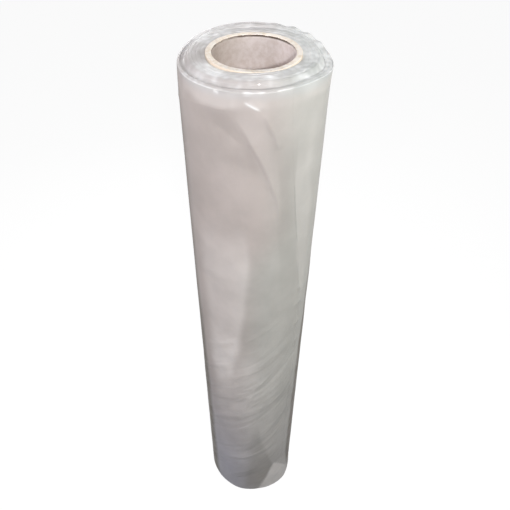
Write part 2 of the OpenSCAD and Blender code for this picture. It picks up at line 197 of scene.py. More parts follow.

# Patches towards the milk colour, amount above 0, or the cling colour, below 0. Some are the sheet's
# own tone, milkier where it hangs loose and clearer where it clings; the others are painted light and
# painted shade, as marked. Each patch lies between two lines of azimuth by depth.
tonePatchesAndPaintedLight = [
    # painted light: the lighter band under the lip
    dict(depths=(5, 21), left=(-200, -200), right=(200, 200), soft=(1, 1, 8), amount=0.18),
    dict(depths=(5, 20), left=(-150, -150), right=(-100, -104), soft=(30, 22, 10), amount=0.20),
    # beside the upper folds: painted light on the band beside them, on the strip by the sheet's end and on
    # the upper right; painted shade in the hollow on the left
    dict(depths=(26, 34, 56, 92, 150), left=(-107, -103, -92, -80, -70), right=(-80, -80, -76, -72, -67),
         soft=(5, 9, 26), amount=0.17),
    dict(depths=(96, 122, 200, 270), left=(-56, -53, -47.5, -39), right=(-39, -35, -32, -32),
         soft=(3, 12, 70), amount=0.24),
    dict(depths=(10, 60, 160, 330), left=(-52, -44, -32, -32), right=(40,) * 4,
         soft=(18, 30, 40), amount=0.15),
    dict(depths=(30, 44, 60, 80), left=(-135, -130, -122, -104), right=(-103, -97, -91, -86),
         soft=(24, 8, 16), amount=-0.16),
    # the pale panel on the left, and the strips that cling between it and the sheet's end
    dict(depths=(212, 245, 345, 405), left=(-144, -144, -142, -140), right=(-92, -93, -102, -112),
         soft=(34, 13, 105), amount=0.41),
    dict(depths=(90, 150, 200, 300), left=(-72, -70, -66, -60), right=(-57, -53, -49, -42),
         soft=(5, 4, 40), amount=-0.10),
    dict(depths=(95, 150, 190), left=(-100, -93, -88), right=(-60, -56, -54),
         soft=(20, 10, 50), amount=-0.12),
    # painted light on the broad middle, a painted shadow as the wedge over the loose corner, and painted
    # light on the lit corner
    dict(depths=(400, 440, 600, 660), left=(-136, -136, -134, -132), right=(-52, -52, -52, -52),
         soft=(36, 36, 110), amount=0.24),
    dict(depths=(582, 632, 690, 766), left=(-84, -91, -97, -101), right=(-80, -68, -57, -78),
         soft=(22, 7, 60), amount=-0.42),
    dict(depths=(684, 700, 724, 744, 760, 790), left=(-57, -61, -67, -74, -78, -84),
         right=(-57, -47, -35, -26, -4, -4), soft=(3, 5, 4), amount=0.60),
    # painted shade on both flanks, darker and darker towards the foot
    dict(depths=(0, 300, 500, 800), left=(-196,) * 4, right=(-154, -152, -147, -141),
         soft=(45, 16, 60), amount=-0.30),
    dict(depths=(60, 300, 500, 800), left=(-196,) * 4, right=(-161, -159, -156, -152),
         soft=(45, 10, 100), amount=-0.38),
    dict(depths=(400, 520, 800), left=(-196,) * 3, right=(-152, -149, -144),
         soft=(45, 16, 120), amount=-0.50),
    dict(depths=(150, 250, 420, 600, 740), left=(-20, -22, -26, -30, -31), right=(16,) * 5,
         soft=(15, 45, 100), amount=-0.36),
    dict(depths=(300, 500, 740), left=(-21, -25, -27), right=(16,) * 3,
         soft=(11, 45, 100), amount=-0.48),
    dict(depths=(400, 520, 740), left=(-24, -29, -31), right=(16,) * 3,
         soft=(13, 45, 120), amount=-0.45),
    dict(depths=(480, 560, 700), left=(-52, -60, -62), right=(16,) * 3,
         soft=(34, 45, 120), amount=-0.12),
    # painted light across the middle
    dict(depths=(400, 440, 520), left=(-138,) * 3, right=(-84,) * 3, soft=(24, 30, 60), amount=0.16),
]

# Painted highlights on places pulled tight, as runs of azimuth and depth: a whiter colour and more coat
paintedHighlightRuns = [
    dict(run=((-97.5, 13.4), (-93, 16), (-89, 18.6), (-84, 21.6)),
         height=0.85, left=0.5, right=0.6, fade=0.35),
    dict(run=((-119, 7.2), (-114, 8.4)), height=0.5, left=0.8, right=0.8, fade=0.3),
]

# The painted highlight along the lip, broken by ripples of this size, and the painted highlight spot by the
# core
lipPaintedHighlight = dict(radius=68.2, half=0.5, azimuth=-87.0, span=20.0, size=11.0,
                spotRadius=53.0, spotAzimuth=-75.5, spotHalf=3.0)


def windingRadius(w):
    # radius of the winding's outside, falling from the roll's radius as the turns are counted inwards
    s = sheeting
    seat = coreRadius + s["seatGap"]
    return s["rollRadius"] - (s["rollRadius"] - seat - s["firstTurn"]) * (
        np.maximum(w, 0) / (360 * s["turnCount"])) ** s["turnCrowding"]


def outwards(r):
    # 0 at the core's side of the winding, 1 at the roll's radius
    seat = coreRadius + sheeting["seatGap"]
    return (r - seat) / (sheeting["rollRadius"] - seat)


def lipDrop(az):
    # half a cosine from back to front, and a high power of the cosine at either side
    s = sheeting
    c = cosD(az)
    right = s["lipDropRight"] * np.maximum(c, 0) ** s["lipPowerRight"]
    left = s["lipDropLeft"] * np.maximum(-c, 0) ** s["lipPowerLeft"]
    side = np.where(c > 0, right, left)
    return s["lipDropFront"] * (1 - sinD(az)) / 2 + side


def flap(az):
    # the loose flap at the right, where the lip stands out
    return bell(turned(az - sheeting["flapAzimuth"]), 0, sheeting["flapSpan"])


def endSink(r, az):
    # a domed collar that gives way over collarFall to the lip, with a channel between and scallops behind
    s = sheeting
    rc = np.minimum(r, s["collarRadius"])
    mid = (coreRadius + s["collarRadius"]) / 2
    half = (s["collarRadius"] - coreRadius) / 2
    gap = s["collarGapLeft"] * bell(turned(az - s["collarLeftAzimuth"]), 0, s["collarLeftSpan"])
    gap = gap + s["collarGapRight"] * bell(az, s["collarRightAzimuth"], s["collarRightSpan"])
    gap = gap + s["collarGapBack"] * bell(az, s["collarBackAzimuth"], s["collarBackSpan"])
    collar = gap + s["collarDome"] * ((rc - mid) / half) ** 2
    t = ease((r - s["collarRadius"] + s["collarFall"] / 2) / s["collarFall"])
    deep = s["channelLeast"] + (1 - s["channelLeast"]) * bell(
        turned(az - s["channelAzimuth"]), 0, s["channelSpan"])
    channel = s["channelDepth"] * deep * ((1 - sinD(az)) / 2) ** 2 * bell(
        r, s["collarRadius"] + s["channelPlace"] * s["collarFall"], s["channelWidth"])
    scallops = s["scallopHeight"] * ease((r - s["collarRadius"]) / s["collarFall"]) * bell(
        az, s["scallopAzimuth"], s["scallopSpan"]) * sinD(
        s["scallopCount"] * az + s["scallopShift"] * sinD(3 * az))
    over = np.clip(1 - (s["rollRadius"] - r) / s["lipRoundWidth"], 0, 1)
    rounded = s["lipRoundLeast"] + (1 - s["lipRoundLeast"]) * bell(
        turned(az - s["lipRoundAzimuth"]), 0, s["lipRoundSpan"])
    rim = s["lipRoundDrop"] * rounded * (1 - np.sqrt(1 - over ** 2))      # a quarter of an ellipse
    return collar * (1 - t) + lipDrop(az) * t + channel + scallops + rim


def stagger(w):
    # a sum of sine waves along the winding, each with its part of the height, its rate and its start
    s = sheeting
    return s["staggerHeight"] * sum(part * sinD(rate * w + start) for part, rate, start in s["staggerWaves"])


def footRise(r, az):
    # the outer turns stand off the floor by a bell across the azimuth, times outwards cubed
    s = sheeting
    return s["footLift"] * outwards(r) ** 3 * bell(turned(az - s["footLiftAzimuth"]), 0, s["footLiftSpan"])


def outsideRadius(theta):
    # the winding's outside, brought in near the sheet's end so that only the sheet's edge steps up
    s = sheeting
    step = s["rollRadius"] - windingRadius(360.0) - s["sheetEdge"]
    return windingRadius(theta) - step * np.exp(-theta / s["sheetEdgeSpan"])


def swing(z):
    # how far the sheet's end has turned, from its azimuth at the top to that of the foot
    s = sheeting
    return (s["tailFootAzimuth"] - s["tailTopAzimuth"]) * ease((s["rollHeight"] - z) / s["tailSkewDepth"])


def fold(az, depth, run, height, left, right, fade):
    # height times exp(-distance / half width) from a broken line on the unrolled surface, so that
    # the crest is sharp and the sides run out, each side with its own width, faded at both ends
    along = math.radians(1) * sheeting["rollRadius"]
    nearest = np.full(np.broadcast(az, depth).shape, 1e9)
    side, gone = np.zeros_like(nearest), np.zeros_like(nearest)
    lengths = [math.hypot((b[0] - a[0]) * along, b[1] - a[1]) for a, b in zip(run, run[1:])]
    before = 0.0
    for (fromAz, fromDepth), (toAz, toDepth), length in zip(run, run[1:], lengths):
        ux, uy = (toAz - fromAz) * along / length, (toDepth - fromDepth) / length
        x, y = turned(az - fromAz) * along, depth - fromDepth
        t = np.clip(x * ux + y * uy, 0, length)
        away = np.hypot(x - t * ux, y - t * uy)
        closer = away < nearest
        nearest = np.where(closer, away, nearest)
        side = np.where(closer, x * uy - y * ux, side)
        gone = np.where(closer, before + t, gone)
        before += length
    part = gone / before
    ends = ease(part / fade) * ease((1 - part) / fade)
    half = np.where(side > 0, right, left)
    crest = sheeting["crestRound"]
    soft = np.sqrt(nearest ** 2 + crest ** 2) - crest
    return height * np.exp(-soft / half) * ends


def patch(az, depth, depths, left, right, soft, amount):
    # amount between the two lines, with its own softness in millimetres left, right and at the ends;
    # each soft edge is centred on its line, but the upper end's lies wholly above the first depth
    along = math.radians(1) * sheeting["rollRadius"]
    leftAz, rightAz = np.interp(depth, depths, left), np.interp(depth, depths, right)
    middle = (leftAz + rightAz) / 2
    az = middle + turned(az - middle)
    fromLeft, fromRight = (az - leftAz) * along / soft[0], (rightAz - az) * along / soft[1]
    down, up = (depth - depths[0]) / soft[2], (depths[-1] - depth) / soft[2]
    return amount * ease(fromLeft + 0.5) * ease(fromRight + 0.5) * ease(down + 1) * ease(up + 0.5)


def patchToneAndPaintedLight(az, depth):
    # the patches of tone, painted light and painted shade, their edges made uneven by moving the places they
    # are read at
    s = sheeting
    x, y = s["rollRadius"] * cosD(az), s["rollRadius"] * sinD(az)
    calm = 1 - s["calmPart"] * ease((depth - s["calmFrom"]) / s["calmOver"])
    az = az + s["wanderRound"] * calm * ripples(
        x, y, s["wanderStretch"] * depth, s["seed"] + 1, s["wanderRoundSize"])
    depth = depth + s["wanderDown"] * calm * ripples(x, y, depth, s["seed"] + 2, s["wanderDownSize"])
    out = np.zeros(np.broadcast(az, depth).shape)
    for one in tonePatchesAndPaintedLight:
        out = out + patch(az, depth, **one)
    return out


def endToneAndPaintedLight(r, az):
    # milky streaks all over the end, milkier inside on the left and at the back, painted light at the
    # collar's foot on the right, and painted shade on the slope between the collar and the lip in front
    s = sheeting
    x, y = r * cosD(az), r * sinD(az)
    streaks = ripples(x, y, 0, s["seed"] + 4, s["streakSize"], s["streakWaves"])
    out = s["endMilk"] * (1 + s["streakPart"] * streaks)
    out = out + s["innerMilk"] * bell(r, s["innerRadius"], s["innerWidth"]) * bell(
        turned(az - s["innerAzimuth"]), 0, s["innerSpan"])
    out = out + s["backMilk"] * bell(turned(az - s["backMilkAzimuth"]), 0, s["backMilkSpan"])
    # painted light at the collar's foot on the right
    out = out + s["footMilk"] * bell(r, s["collarRadius"] + s["footMilkOut"], s["footMilkWidth"]) * bell(
        turned(az - s["footMilkAzimuth"]), 0, s["footMilkSpan"])
    # painted shade on the slope between the collar and the lip in front
    slope = ease((r - s["collarRadius"] + s["slopeLead"]) / s["slopeRise"])
    slope = slope * ease((s["rollRadius"] - s["slopeEdge"] - r) / s["slopeFall"])
    uneven = s["slopeMean"] + s["slopeUneven"] * ripples(x, y, 0, s["seed"] + 6, s["slopeSize"])
    return out - s["slopeCling"] * uneven * slope * bell(turned(az - s["slopeAzimuth"]), 0, s["slopeSpan"])


def paintedHighlights(r, az, depth):
    # 0 to 1, painted highlights: the tight creases on the side, the broken line along the lip and the spot by
    #                             the core
    g = lipPaintedHighlight
    x, y = r * cosD(az), r * sinD(az)
    out = np.zeros(r.shape)
    for one in paintedHighlightRuns:
        out = np.maximum(out, fold(az, depth, **one))
    inside = depth < sheeting["shoulderDepth"]
    broken = ease(0.5 + ripples(x, y, 0, sheeting["seed"] + 5, g["size"]))
    line = broken * bell(r, g["radius"], g["half"]) * bell(az, g["azimuth"], g["span"])
    spotX, spotY = g["spotRadius"] * cosD(g["spotAzimuth"]), g["spotRadius"] * sinD(g["spotAzimuth"])
    spot = np.exp(-((x - spotX) ** 2 + (y - spotY) ** 2) / g["spotHalf"] ** 2)
    return np.maximum(out, np.where(inside, np.maximum(line, spot), 0))


def flare(az, z):
    # the loose lower corner: a tent across the azimuth whose left edge slants out towards the floor
    s = sheeting
    up = np.clip(z / s["flareHeight"], 0, 1)
    left = s["flareLeft"][1] + (s["flareLeft"][0] - s["flareLeft"][1]) * up
    rise = np.clip((az - left) / (s["flareAzimuth"] - left), 0, 1)
    fall = np.clip((s["flareRight"] - az) / (s["flareRight"] - s["flareAzimuth"]), 0, 1)
    lobes = 1 + s["lobePart"] * sinD(z * s["lobeRate"]) * bell(az, s["lobeAzimuth"], s["lobeSpan"])
    return s["flareOut"] * np.minimum(rise, fall) * (1 - up) * lobes


def swell(az, z):
    # how far the outside stands off the plain roll: folds, slow waves, small creases, the loose
    # corner and the shoulder that draws in under the lip
    s = sheeting
    depth = s["rollHeight"] - z
    x, y = s["rollRadius"] * cosD(az), s["rollRadius"] * sinD(az)
    (around, down), (otherAround, otherDown) = s["waves"]
    out = s["waveHeight"] * sinD(around * az + down * depth) * sinD(otherAround * az + otherDown * depth)
    out = out + s["unevenness"] * ripples(x, y, s["unevenStretch"] * depth, s["seed"], s["unevenSize"])
    for one in sheetingFolds:
        out = out + fold(az, depth, **one)
    inwards = s["shoulderIn"] - (s["shoulderIn"] + s["flapOut"]) * flap(az)
    shoulder = inwards * np.exp(-np.maximum(depth - lipDrop(az), 0) / s["shoulderDepth"])
    return out + flare(az, z) - shoulder


def rollPoint(r, theta, z):
    # azimuth from the sheet's end and its swing, radius with the swell that dies away inwards
    az = sheeting["tailTopAzimuth"] + theta + swing(z) * outwards(r)
    out = r + swell(turned(az), z) * np.maximum(outwards(r), 0) ** 3
    return np.stack([out * cosD(az), out * sinD(az), z + 0 * out], axis=-1)


def stationAngles():
    # angles from the sheet's end, closer together at the front, azimuth -90, than at the back
    s = sheeting
    even = np.linspace(0, 360, 3601)          # a tenth of a degree apart
    start = s["tailTopAzimuth"]
    gone = even + math.degrees(s["crowding"]) * (cosD(start + even) - math.cos(math.radians(start)))
    return np.interp(np.linspace(0, 360, s["stations"] + 1), gone, even)


def endRadii(theta, steps):
    # radius of each column at each station: turn by turn, the steps shared out across its thickness
    s = sheeting
    k = np.repeat(np.arange(s["turnCount"]), len(steps))
    part = np.tile(steps, s["turnCount"])
    outer = windingRadius(360 * (s["turnCount"] - 1 - k)[None, :] + theta[:, None])
    outer = np.where(k[None, :] == s["turnCount"] - 1, outsideRadius(theta)[:, None], outer)
    inner = np.where(k[None, :] == 0, coreRadius + s["seatGap"],
                     windingRadius(360 * (s["turnCount"] - k)[None, :] + theta[:, None]))
    return inner + part * (outer - inner), k, part


def topPoints(theta):
    # each land is an arch, 1 - |2 part - 1|^landPower, over the groove that parts it from the next turn in
    s = sheeting
    r, k, part = endRadii(theta, s["topSteps"])
    az = turned(s["tailTopAzimuth"] + theta)[:, None]
    w = 360 * (s["turnCount"] - 1 - k)[None, :] + theta[:, None]
    ride = stagger(w)
    groove = part == 0
    ride = np.where(groove[None, :], np.minimum(ride, stagger(w + 360)), ride)
    weak = s["grooveFront"] + (1 - s["grooveFront"]) * ease(0.5 + s["grooveTurn"] * sinD(az))
    thick = windingRadius(w) - windingRadius(w + 360)
    deep = s["grooveDepth"] * weak * np.clip(thick / s["grooveFull"], 0, 1)
    dip = deep * np.abs(2 * part - 1) ** s["landPower"]
    slit = s["slitDepth"] * bell(az, s["slitAzimuth"], s["slitSpan"]) * (groove & (k == s["turnCount"] - 1))
    first = (k == 0) & groove
    rough = s["crumple"] * (1 - s["crumpleCalm"] * ease((r - s["collarRadius"]) / s["collarFall"])) * ripples(
        r * cosD(az), r * sinD(az), 0, s["seed"] + 3, s["crumpleSize"], s["crumpleWaves"])
    z = s["rollHeight"] - endSink(r, az) + ride - np.where(first, 0, dip) - slit
    z = z + rough * np.clip(s["crumpleStart"] * outwards(r), 0, 1)
    return rollPoint(r, theta[:, None], z), z[:, -1]


def footPoints(theta):
    # a level lower end with a groove under each turn, but for the raised stretch of the outer turns
    s = sheeting
    r, k, part = endRadii(theta, s["footSteps"])
    az = turned(s["tailFootAzimuth"] + theta)[:, None]
    z = footRise(r, az) + np.where((part == 0) & (k > 0), s["grooveDepth"], 0)
    return rollPoint(r, theta[:, None], z), z[:, -1]


def wallPoints(theta, topZ, footZ):
    # rows down the outside, closer together near the top: wallLead v + the rest times v^wallCrowding
    s = sheeting
    r = outsideRadius(theta)[:, None]
    v = np.linspace(0, 1, s["wallRows"])[None, :]
    high = (topZ - s["edgeRows"][0])[:, None]
    low = (footZ + s["edgeRows"][-1])[:, None]
    span = high - low
    z = high - s["wallLead"] * v - (span - s["wallLead"]) * v ** s["wallCrowding"]
    under = footZ[:, None] + np.array(s["edgeRows"][::-1][1:])[None, :]
    z = np.concatenate([z, under], axis=1)
    return rollPoint(r, theta[:, None], z)


def woundRoll(name):
    # Stations go once round from the sheet's end, and each is a loop: out over the top, down, back below.
    # The winding makes the last station's turns meet the first one's, one turn further in.
    s = sheeting
    n = s["stations"]
    theta = stationAngles()
    top, topZ = topPoints(theta)
    foot, footZ = footPoints(theta)
    wall = wallPoints(theta, topZ, footZ)
    loops = np.concatenate([top, wall, foot[:, ::-1]], axis=1)
    count = loops.shape[1]
    topCount, rows = top.shape[1], wall.shape[1]
    topTurn, footTurn = len(s["topSteps"]), len(s["footSteps"])
    grid = np.arange(n * count).reshape(n, count)          # stations 1 to n
    last = grid[-1]
    ownTop, ownFoot = topCount - topTurn, topCount + rows + footTurn
    own = n * count + np.arange(ownFoot - ownTop)
    first = np.empty(count, dtype=int)
    first[ownTop:ownFoot] = own
    first[1:ownTop] = last[1 + topTurn:topCount]
    first[ownFoot:-1] = last[topCount + rows:count - 1 - footTurn]
    first[0], first[-1] = last[0], last[-1]
    points = np.concatenate([loops[1:].reshape(-1, 3), loops[0, ownTop:ownFoot]])
    ring = np.concatenate([first[None], grid])
    here, there = ring[:-1], ring[1:]
    quads = np.stack([here, np.roll(here, -1, 1), np.roll(there, -1, 1), there], axis=-1)
    keep = np.ones(quads.shape[:2], dtype=bool)
    keep[0, 0] = keep[0, count - 2] = False                 # the winding's start, closed by the fans
    quads = quads[keep]
    rimTop = last[:topTurn + 2]
    rimFoot = last[::-1][:footTurn + 2]
    one, two = grid[0, 0], grid[0, 1]
    fanTop = [[rimTop[i], rimTop[i + 1], one] for i in range(topTurn)]
    fanTop += [[one, rimTop[topTurn], two], [rimTop[topTurn], rimTop[topTurn + 1], two]]
    three, four = grid[0, -1], grid[0, -2]
    fanFoot = [[rimFoot[i + 1], rimFoot[i], three] for i in range(footTurn)]
    fanFoot += [[rimFoot[footTurn], three, four], [rimFoot[footTurn + 1], rimFoot[footTurn], four]]
    wallOwn = own[topTurn:topTurn + rows]
    wallLast = last[topCount:topCount + rows]
    strip = np.stack([wallOwn[:-1], wallLast[:-1], wallLast[1:], wallOwn[1:]], axis=-1)
    capTop = np.concatenate([[last[topCount - 1]], own[:topTurn + 1], [wallLast[0]]])[::-1]
    capFoot = np.concatenate([[last[topCount + rows]], [wallLast[-1]], own[topTurn + rows - 1:]])[::-1]
    fans = np.array(fanTop + fanFoot)
    roll = meshFrom(name, points, [quads, fans, strip, capTop[None], capFoot[None]])
    spread = np.broadcast_to((theta * math.radians(1) * s["rollRadius"])[:, None], loops.shape[:2])
    az = turned(np.degrees(np.arctan2(loops[..., 1], loops[..., 0])))
    # the tone at each point, with painted light and painted shade, and the painted highlights
    loose = patchToneAndPaintedLight(az, s["rollHeight"] - loops[..., 2])
    r = np.hypot(loops[..., 0], loops[..., 1])
    loose[:, :topCount] += endToneAndPaintedLight(r[:, :topCount], az[:, :topCount])
    highlightPaint = paintedHighlights(r, az, s["rollHeight"] - loops[..., 2])
    unrolled = np.stack([spread * mm, loops[..., 2] * mm, 0 * spread], axis=-1)
    for layer, values, kind in (("loose", loose, "FLOAT"), ("gleam", highlightPaint, "FLOAT"),
                                ("unrolled", unrolled, "FLOAT_VECTOR")):
        rest = values[1:].reshape(n * count, -1)
        start = values[0, ownTop:ownFoot].reshape(ownFoot - ownTop, -1)
        pointAttribute(roll, layer, np.concatenate([rest, start]), kind)
    return roll


# The cardboard core. The neck's points are how far out from the bore and how far below the top.
cardboard = dict(
    stations=288, boreRows=60, boreTop=4.0, neck=((0, 3.0), (0.9, 2.2), (0.9, 1.1), (0.1, 0.7), (0.1, 0.25)),
    plies=6, plySteps=4, plyHeight=0.12, rimUneven=0.15, rimInner=0.4, rimOuter=0.5,
    outsideDrops=(0.4, 2.0, 5.0, 12.0), footBevel=0.4, ragged=0.55, mouthPart=0.5,
    mouthShade=(0.55, 0.5, 0.35), seed=11,      # all round, uneven, more at the back
)


def coreProfile():
    # bore upwards, over the rim, down the outside and back under, as (radius, height) in millimetres
    c = cardboard
    rimFrom, rimTo = boreRadius + c["rimInner"], coreRadius - c["rimOuter"]
    bore = [(boreRadius, z) for z in np.linspace(c["footBevel"], coreTop - c["boreTop"], c["boreRows"])]
    neck = [(boreRadius + out, coreTop - down) for out, down in c["neck"]]
    rim = [(r, coreTop) for r in np.linspace(rimFrom, rimTo, c["plySteps"] * c["plies"])]
    outside = [(coreRadius, coreTop - down) for down in c["outsideDrops"]]
    outside += [(coreRadius, coreTop / 2), (coreRadius, c["footBevel"])]
    under = [(rimTo, 0.0), (rimFrom, 0.0)]
    return np.array(bore + neck + rim + outside + under), len(bore), len(neck), len(rim)


def coreTube(name):
    # the profile carried round the axis, ragged at the mouth, the cut plies arched along the rim
    c = cardboard
    profile, boreCount, neckCount, rimCount = coreProfile()
    az = np.arange(c["stations"]) * 360 / c["stations"]
    r = np.repeat(profile[None, :, 0], len(az), 0)
    z = np.repeat(profile[None, :, 1], len(az), 0)
    rng = np.random.default_rng(c["seed"])

    def roundNoise(harmonics, fall):
        # a sum of whole waves round the ring, weaker as they get finer
        k = np.arange(2, harmonics)
        amp, phase = rng.normal(size=len(k)) / k ** fall, rng.uniform(0, 360, len(k))
        wave = (amp * sinD(k * az[:, None] + phase)).sum(1)
        return wave / np.abs(wave).max()

    rim = slice(boreCount + neckCount, boreCount + neckCount + rimCount)
    r[:, boreCount + 1:boreCount + 3] += c["ragged"] * roundNoise(harmonics=120, fall=0.3)[:, None]
    mouth = roundNoise(harmonics=140, fall=0.2)
    r[:, boreCount + 3:boreCount + 5] -= c["mouthPart"] * c["ragged"] * mouth[:, None]
    z[:, boreCount + 3] += c["ragged"] * roundNoise(harmonics=140, fall=0.2)
    part = np.linspace(0, c["plies"], rimCount, endpoint=False)
    arches = c["plyHeight"] * np.abs(np.sin(math.pi * part))[None, :]
    z[:, rim] += arches * (1 + roundNoise(harmonics=60, fall=0.3)[:, None])
    z[:, rim] += c["rimUneven"] * roundNoise(harmonics=40, fall=0.6)[:, None]
    points = np.stack([r * cosD(az)[:, None], r * sinD(az)[:, None], z], axis=-1)
    count = profile.shape[0]
    grid = np.arange(len(az) * count).reshape(len(az), count)
    there = np.roll(grid, -1, 0)
    quads = np.stack([grid, np.roll(grid, -1, 1), np.roll(there, -1, 1), there], axis=-1).reshape(-1, 4)
    tube = meshFrom(name, points.reshape(-1, 3), [quads])
    part, dark = np.zeros(r.shape), np.zeros(r.shape)         # part: 0 in the bore, 1 on the rim, 2 outside
    part[:, boreCount + 3:] = 1
    part[:, rim.stop:] = 2
    even, uneven, behind = c["mouthShade"]
    shade = ease(even + uneven * roundNoise(harmonics=30, fall=0.5) + behind * sinD(az))
    dark[:, boreCount + 1:boreCount + 3] = shade[:, None]
    pointAttribute(tube, "part", part)
    pointAttribute(tube, "undercut", dark)
    return tube


def newMaterial(name):
    # a material with an empty node tree but for its output
    material = bpy.data.materials.new(name)
    material.use_nodes = True
    tree = material.node_tree
    tree.nodes.clear()
    out = tree.nodes.new("ShaderNodeOutputMaterial")
    return material, tree, out


def nodeOf(tree, kind, **values):
    # a node with its settings, or else its sockets, given by name
    node = tree.nodes.new(kind)
    for key, value in values.items():
        if hasattr(node, key):
            setattr(node, key, value)
        else:
            node.inputs[key].default_value = value
    return node


def mixed(tree, factor, first, second, blend="MIX"):
    # first and second mixed by factor, each of them a value or the output of a node
    mix = nodeOf(tree, "ShaderNodeMix", data_type="RGBA", blend_type=blend)
    if isinstance(factor, float):
        mix.inputs[0].default_value = factor
    else:
        tree.links.new(factor, mix.inputs[0])
    for socket, value in ((mix.inputs[6], first), (mix.inputs[7], second)):
        if isinstance(value, tuple):
            socket.default_value = (*value, 1)
        else:
            tree.links.new(value, socket)
    return mix.outputs[2]


def between(tree, source, low, high, least=0.0, most=1.0):
    # from least to most, by a smooth step, as source goes from low to high
    step = nodeOf(tree, "ShaderNodeMapRange", interpolation_type="SMOOTHSTEP")
    for socket, value in (("From Min", low), ("From Max", high), ("To Min", least), ("To Max", most)):
        step.inputs[socket].default_value = value
    tree.links.new(source, step.inputs["Value"])
    return step.outputs["Result"]


def ramped(tree, source, limits, lowColor, highColor):
    # a colour that goes from one to the other as source goes from the first limit to the second
    return mixed(tree, between(tree, source, *limits), lowColor, highColor)


def combined(tree, operation, first, second, clamp=False):
    # the sum, difference, product or larger one of two outputs
    node = nodeOf(tree, "ShaderNodeMath", operation=operation, use_clamp=clamp)
    tree.links.new(first, node.inputs[0])
    tree.links.new(second, node.inputs[1])
    return node.outputs[0]


def noiseOf(tree, vector, scale, detail, roughness, distortion=0.0):
    # grey noise read at vector
    noise = nodeOf(tree, "ShaderNodeTexNoise", Scale=scale, Detail=detail, Roughness=roughness,
                   Distortion=distortion)
    tree.links.new(vector, noise.inputs["Vector"])
    return noise.outputs["Fac"]


def attributeOf(tree, name, output="Fac"):
    # an attribute that the mesh carries at its points
    return nodeOf(tree, "ShaderNodeAttribute", attribute_name=name).outputs[output]


# Lengths are in metres here, heights above the floor; a noise is its scale, detail and roughness.
filmFinish = dict(
    leftColor=(0.480, 0.430, 0.410), rightColor=(0.460, 0.450, 0.425), sideLimits=(-0.03, 0.02),
    warmHeight=0.58, warmFade=0.04, warmReach=0.030,
    # towards the foot the colour is painted cool light, bluest on the left
    footLeft=(0.530, 0.524, 0.590), footRight=(0.485, 0.463, 0.450), footLimits=(-0.045, 0.02),
    # the milk colour also serves painted light, the cling colour painted shade
    footHeights=(0.0, 0.40), milkColor=(0.87, 0.83, 0.81), clingColor=(0.15, 0.13, 0.108),
    # the last colour is that of the painted highlights
    endTint=(0.965, 1.015, 1.05), endDepths=(0.016, 0.006), gleamColor=(0.97, 0.97, 0.98),
    toneSpread=0.12, toneNoise=(16.0, 4.0, 0.55), toneLimits=(0.35, 0.65),
    roughness=0.40, specular=0.05, coat=0.0, coatTop=0.12, shineHeights=(0.60, 0.735),
    coatIor=1.9, coatRoughness=0.12, subsurface=0.15, subsurfaceRadius=(0.004, 0.0035, 0.003),
    crinkle=0.35, crinkleHeight=0.0012, crinkleNoise=(70.0, 4.0, 0.55),
    # wrinkles: scale along, scale across, detail, height
    wrinkleLean=-42.0, wrinkles=((9.0, 34.0, 1.5, 0.0055), (22.0, 75.0, 3.0, 0.0012)),
    wrinkleRough=0.5, wrinkleBend=0.5, wrinkleLeast=0.15, wrinkleHeights=(0.50, 0.30),
    wrinkleTop=(0.755, 0.70),
)


